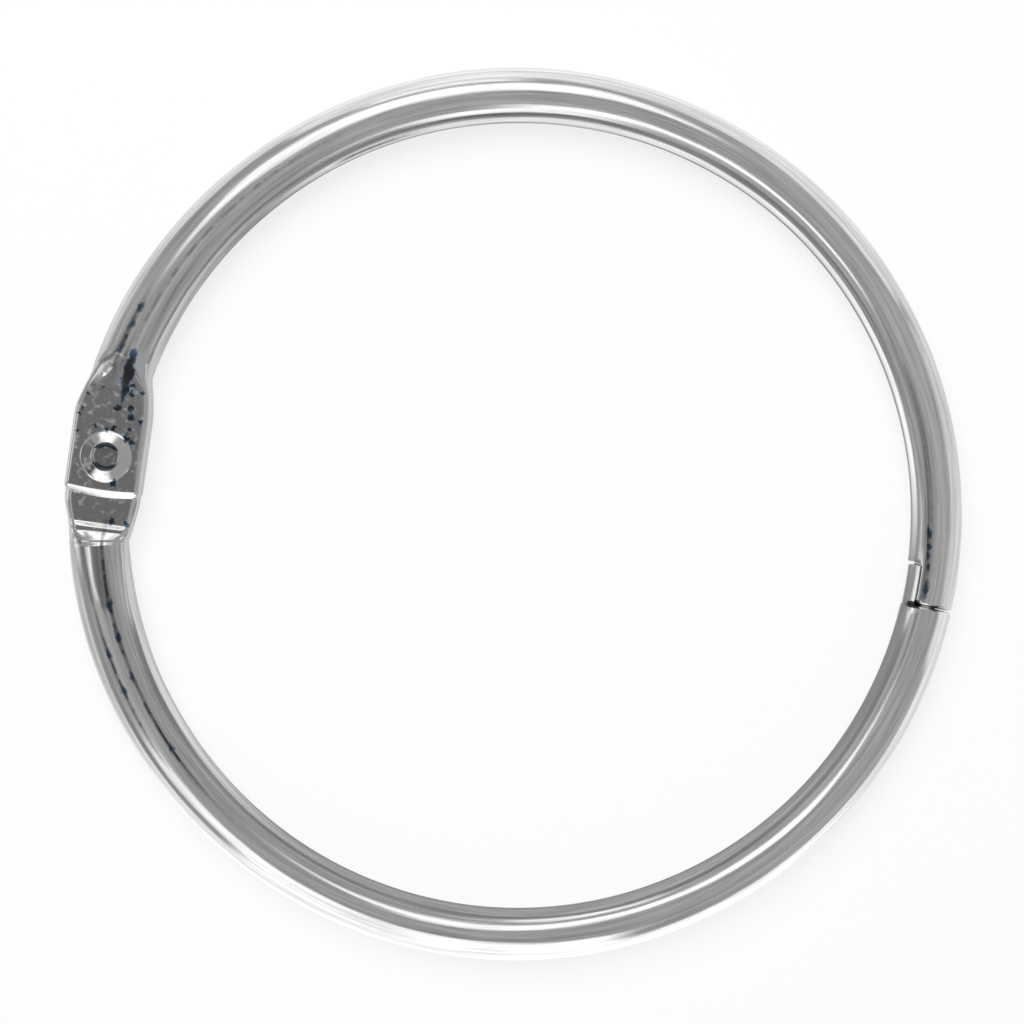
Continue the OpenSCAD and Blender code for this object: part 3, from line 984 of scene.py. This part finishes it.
def metal(name, colour, roughness, added_shade=None):
    """Bright nickel plating: fine lines drawn along the tube, a slight wave, worn flats, dark specks, and
    painted dark reflections and painted shade by the clasp's joint.

    The last argument takes the nodes, along and outward, and gives how much painted shade the place has
    besides, as in the rivet's recess.
    """
    material = bpy.data.materials.new(name)
    n = Nodes(material)
    grain = n.add("ShaderNodeAttribute", attribute_name="grain").outputs["Vector"]
    position, along, outward = hinge_place(n)
    streaks = noise(n, grain, *STREAKS)
    flat = n.times(n.scaled(along, *FLAT_CLEVIS), n.scaled(along, *FLAT_TONGUE))
    flat = n.times(flat, n.scaled(outward, *FLAT_INNER))
    blotches = n.times(n.scaled(noise(n, position, *BLOTCHES), *BLOTCH_EDGE), n.scaled(along, *BLOTCH_END))

    specks = tube_spots(n, grain)
    darkening = n.most(spots(n, along, outward, position), crest_line(n, position, along, outward))
    darkening = n.most(n.times(darkening, flat), n.times(specks, SPECK_STAIN))
    # Painted shade passed in, such as in the rivet's recess, darkens through the same colours as the specks
    if added_shade:
        darkening = n.most(darkening, added_shade(n, along, outward))
    tint = n.ramp(darkening, ((0.0, colour), (RIM_STAIN, SPOT_BLUE), (1.0, SPOT_DARK)))

    lines = n.minus(n.plus(streaks, n.times(noise(n, grain, *BANDS), BAND_SHARE)), LINE_MIDDLE)
    lines = n.times(lines, n.minus(1.0, flat))
    # Painted dark reflections along the tube and painted shade at the clasp's joint, with the dirt of the
    # tube's specks
    shade_and_dirt = n.most(painted_shade(n, grain), n.times(specks, SPECK_DIRT))
    level = n.times(n.plus(1.0, n.times(lines, LINE_STRENGTH)), n.minus(1.0, shade_and_dirt))

    wave = noise(n, grain, *WAVE)
    ridge = crease(n, along, outward)
    bump = None
    for height, deep in ((wave, WAVE_DEEP), (streaks, STREAK_DEEP), (ridge, CREASE_DEEP)):
        settings = {"Strength": 1.0, "Distance": deep, "Height": height}
        if bump:
            settings["Normal"] = bump
        bump = n.add("ShaderNodeBump", settings).outputs["Normal"]
    shader = {
        "Base Color": n.vector("MULTIPLY", tint, n.joined(level, level, level)),
        "Metallic": 1.0,
        "Roughness": n.plus(roughness, n.times(blotches, flat, BLOTCH_ROUGH)),
        "Normal": bump,
    }
    shader = n.add("ShaderNodeBsdfPrincipled", shader)
    n.add("ShaderNodeOutputMaterial", {"Surface": shader.outputs["BSDF"]})
    return material


# ---- Studio: floor, world, light cards and camera ----

# Directions and places here are those of the picture: angles run anticlockwise from its right
HINGE_ANGLE = 172.04
PICTURE_TURN = 180 - HINGE_ANGLE


def picture_direction(azimuth, elevation=0):
    a, e = math.radians(azimuth + PICTURE_TURN), math.radians(elevation)
    return Vector((math.cos(a) * math.cos(e), math.sin(a) * math.cos(e), math.sin(e)))


def square(name, corners):
    """A flat object of four corners, in metres, with an empty material; gives the object and the nodes."""
    mesh = bpy.data.meshes.new(name)
    mesh.from_pydata(corners, [], [(0, 1, 2, 3)])
    material = bpy.data.materials.new(name)
    mesh.materials.append(material)
    made = bpy.data.objects.new(name, mesh)
    bpy.context.scene.collection.objects.link(made)
    return made, Nodes(material)


def white_glow(n, strength):
    return n.add("ShaderNodeEmission", {"Color": (1, 1, 1, 1), "Strength": strength}).outputs[0]


# The floor's half size in metres, its own shade, and the light that it adds to the camera
FLOOR_HALF = 1.5
FLOOR_SHADE = 0.3
FLOOR_GLOW = 0.74
# The floor's light as metal mirrors it, outside and inside the ring: a level, and what its parts add to it.
# A part is (light, direction, cosines to that direction over which it fades in, such pairs of radii)
OUTSIDE_LEVEL = 0.49
OUTSIDE_PARTS = [(0.2, 0, (-1.0, -0.3), ()), (0.45, -98, (0.4, 0.85), ())]
INSIDE_LEVEL = 0.06
INSIDE_PARTS = [
    (0.4, 0, (-0.5, -0.95), ()),
    (0.14, -98, (0.3, 0.8), ((31.5, 29.5),)),
    (0.75, 62, (0.3, 0.62), ((20.5, 24.5), (31.2, 29.8))),
]


def floor_level(n):
    """The floor's light as metal mirrors it.

    Outside the ring it is palest at the bottom and dimmest on the left. Inside it is dark but for its left, a
    little of its bottom and a pale arc at the upper right.
    """
    place = n.add("ShaderNodeTexCoord").outputs["Object"]
    radius = n.math("DIVIDE", n.vector("LENGTH", place), MM)
    way = n.vector("NORMALIZE", place)
    levels = []
    for level, parts in ((OUTSIDE_LEVEL, OUTSIDE_PARTS), (INSIDE_LEVEL, INSIDE_PARTS)):
        for light, azimuth, cosines, radii in parts:
            toward = n.vector("DOT_PRODUCT", way, tuple(picture_direction(azimuth)))
            part = n.times(n.scaled(toward, *cosines), *(n.scaled(radius, *pair) for pair in radii), light)
            level = n.plus(level, part)
        levels.append(level)
    outside, inside = levels
    within = n.scaled(radius, RING_R, RING_R - TUBE_R)
    return n.plus(outside, n.times(within, n.minus(inside, outside)))


def studio_floor():
    """A pale floor, white to the camera but for the ring's shadow."""
    corners = [(x * FLOOR_HALF, y * FLOOR_HALF, 0) for x, y in ((-1, -1), (1, -1), (1, 1), (-1, 1))]
    floor, n = square("floor", corners)
    path = n.add("ShaderNodeLightPath").outputs
    mirrored = n.most(path["Is Glossy Ray"], path["Is Transmission Ray"])
    paper = n.add("ShaderNodeBsdfDiffuse", {"Color": (FLOOR_SHADE,) * 3 + (1,)})
    level = n.plus(n.times(path["Is Camera Ray"], FLOOR_GLOW), n.times(mirrored, floor_level(n)))
    both = n.add("ShaderNodeAddShader", {0: paper.outputs[0], 1: white_glow(n, level)})
    n.add("ShaderNodeOutputMaterial", {"Surface": both.outputs[0]})


# Cards that only metal mirrors: the direction they lie in, how far they are shifted to its left, half their
# width, their two ends as (distance from the ring's centre, height), in millimetres, and their brightness.
# A flag is as grey as the room or darker and hides the cards behind it; a dark card is a dark strip
CARDS = {
    "card_overhead": (-74, 0, 15, (9, 27), (27, 22), 1.4),
    "card_far_side": (103, 0, 54, (46, 80), (114, 80), 1.5),
    "card_softbox": (-118, 0, 130, (200, 285), (200, 80), 1.4),
    "card_near_side": (-103, 0, 42, (74, -4), (74, 54), 1.5),
    "card_right": (-6, 13, 33, (70, 0), (70, 24), 0.8),
    "card_top": (100, 0, 30, (74, 0), (74, 22), 1.0),
    "card_upper_right": (58, 0, 44, (74, 0), (74, 29), 0.9),
    "card_left": (172, 0, 30, (150, -4), (150, 62), 1.0),
    "card_steps": (82, 62, 45, (191, 34), (191, 130), 1.4),
    "card_land": (-9.5, 0, 2, (24, 4.8), (24, 8.6), 1.1),
    "flag_overhead": (180, 4, 13, (3, 8), (3, 31), 0.4),
    "flag_inner": (-90, 0, 18, (5, -1), (5, 11), 0.22),
    "flag_far": (90, 0, 30, (2, 40), (36, 40), 0.4),
    "dark_left": (172, 2, 15, (33, 76), (56, 76), 0.14),
    "card_side": (172, 0, 12, (62, 76), (101, 76), 0.9),
    "dark_side": (172, 0, 34, (102, 76), (150, 76), 0.17),
    "dark_ramp": (172, 5.5, 4.4, (27, 25), (45, 25), 0.16),
    "dark_upper": (155, 0, 14, (98, 78), (111, 78), 0.02),
    "dark_lower": (-156, 0, 24, (98, 78), (111, 78), 0.02),
    "dark_overhead": (172, 0, 18, (12, 60), (17.5, 60), 0.03),
}
CARD_FADE = 0.16  # share of a card's smaller side over which its light fades


def card(name, azimuth, shift, half_width, start, end, strength):
    """A flat card whose light fades towards its edges."""
    way, across = picture_direction(azimuth), picture_direction(azimuth + 90)
    corners = []
    for (distance, height), side in ((start, -1), (start, 1), (end, 1), (end, -1)):
        corners.append((way * distance + across * (shift + side * half_width) + Vector((0, 0, height))) * MM)
    made, n = square(name, corners)
    made.data.uv_layers.new(name="places").uv.foreach_set("vector", [0, 0, 1, 0, 1, 1, 0, 1])
    place = n.parts(n.add("ShaderNodeTexCoord").outputs["UV"])
    sizes = 2 * half_width, math.dist(start, end)
    inside = 1.0
    for k, size in enumerate(sizes):
        from_edge = n.minus(0.5, n.size(n.minus(place[k], 0.5)))
        inside = n.times(inside, n.scaled(from_edge, 0.0, CARD_FADE * min(sizes) / size))
    clear = n.add("ShaderNodeBsdfTransparent")
    both = n.add("ShaderNodeMixShader", {0: inside, 1: clear.outputs[0], 2: white_glow(n, strength)})
    n.add("ShaderNodeOutputMaterial", {"Surface": both.outputs[0]})
    made.visible_camera = made.visible_diffuse = made.visible_shadow = made.visible_transmission = False


# Light of the room by height, from level to overhead
SKY_STOPS = [(0.0, 0.4), (0.3, 0.38), (0.7, 0.4)]


def studio_world():
    """A plain grey room, white to the camera."""
    world = bpy.data.worlds.new("studio")
    bpy.context.scene.world = world
    n = Nodes(world)
    height = n.parts(n.add("ShaderNodeTexCoord").outputs["Generated"])[2]
    grey = n.ramp(height, [(at, (level,) * 3) for at, level in SKY_STOPS])
    path = n.add("ShaderNodeLightPath").outputs
    sky = n.add("ShaderNodeBackground", {"Color": grey, "Strength": 1.0})
    white = n.add("ShaderNodeBackground", {"Color": (1, 1, 1, 1), "Strength": 1.0})
    shown = n.add("ShaderNodeMixShader", {0: path["Is Camera Ray"], 1: sky.outputs[0], 2: white.outputs[0]})
    n.add("ShaderNodeOutputWorld", {"Surface": shown.outputs[0]})


# The soft lamp over the ring: direction, size and power; metal mirrors the cards in its stead
LAMP_DIRECTION = (110, 62)
LAMP_DISTANCE = 600
LAMP_SIZE = 500
LAMP_POWER = 2.1


def soft_lamp():
    data = bpy.data.lights.new("soft_lamp", "AREA")
    data.shape, data.size = "DISK", LAMP_SIZE * MM
    data.energy = LAMP_POWER
    lamp = bpy.data.objects.new("soft_lamp", data)
    way = picture_direction(*LAMP_DIRECTION)
    lamp.location = way * LAMP_DISTANCE * MM
    lamp.rotation_euler = way.to_track_quat("Z", "Y").to_euler()
    lamp.visible_glossy = lamp.visible_camera = False
    bpy.context.scene.collection.objects.link(lamp)


# Pixels along a side of the picture, the pixel that the ring's middle lies at, and the ring's outer radius
PICTURE = 1024
RING_X, RING_Y = 516.5, 514
RING_PIXELS = 446
LENS = 100
SENSOR = 36
CLIP = (0.01, 10)  # metres


def camera():
    data = bpy.data.cameras.new("camera")
    data.lens, data.sensor_width = LENS, SENSOR
    pixel = (RING_R + TUBE_R) / RING_PIXELS
    distance = PICTURE * pixel * LENS / SENSOR
    turn = math.radians(PICTURE_TURN)
    right = Vector((math.cos(turn), math.sin(turn), 0))
    up = Vector((-math.sin(turn), math.cos(turn), 0))
    middle = right * (PICTURE / 2 - RING_X) * pixel + up * (RING_Y - PICTURE / 2) * pixel
    eye = bpy.data.objects.new("camera", data)
    eye.location = (middle + Vector((0, 0, TUBE_R + distance))) * MM
    eye.rotation_euler = (0, 0, turn)
    data.clip_start, data.clip_end = CLIP
    bpy.context.scene.collection.objects.link(eye)
    bpy.context.scene.camera = eye


# ---- Scene ----


def main():
    nickel = metal("nickel", *NICKEL)
    # The rivet's plating has painted shade in its recess's corner
    rivet_nickel = metal("rivet_nickel", *RIVET_NICKEL, recess_painted_shade)

    clevis = Sheet(clevis_rows(), CLEVIS_COLUMNS, clevis_point, clevis_metal)
    clevis = clevis.mesh("clevis_half_ring", 1)
    clevis = make_piece("clevis_half_ring", clevis, "clevis_side", "clevis_half", nickel)
    drill(clevis, SHANK_R)
    tongue = Sheet(tongue_rows(), TONGUE_COLUMNS, tongue_point, lambda *cell: True)
    tongue = tongue.mesh("tongue_half_ring", -1)
    tongue = make_piece("tongue_half_ring", tongue, "tongue_side", "tongue_half", nickel)
    drill(tongue, SHANK_R + RIVET_PLAY)
    rivet = rivet_mesh()
    rivet = make_piece("clinched_rivet", rivet, "clevis_side", "hinge_rivet", rivet_nickel)
    for piece in (clevis, tongue, rivet):
        smooth(piece)

    studio_floor()
    studio_world()
    for name, sizes in CARDS.items():
        card(name, *sizes)
    soft_lamp()
    camera()
    bpy.context.scene.view_settings.view_transform = "Standard"


main()
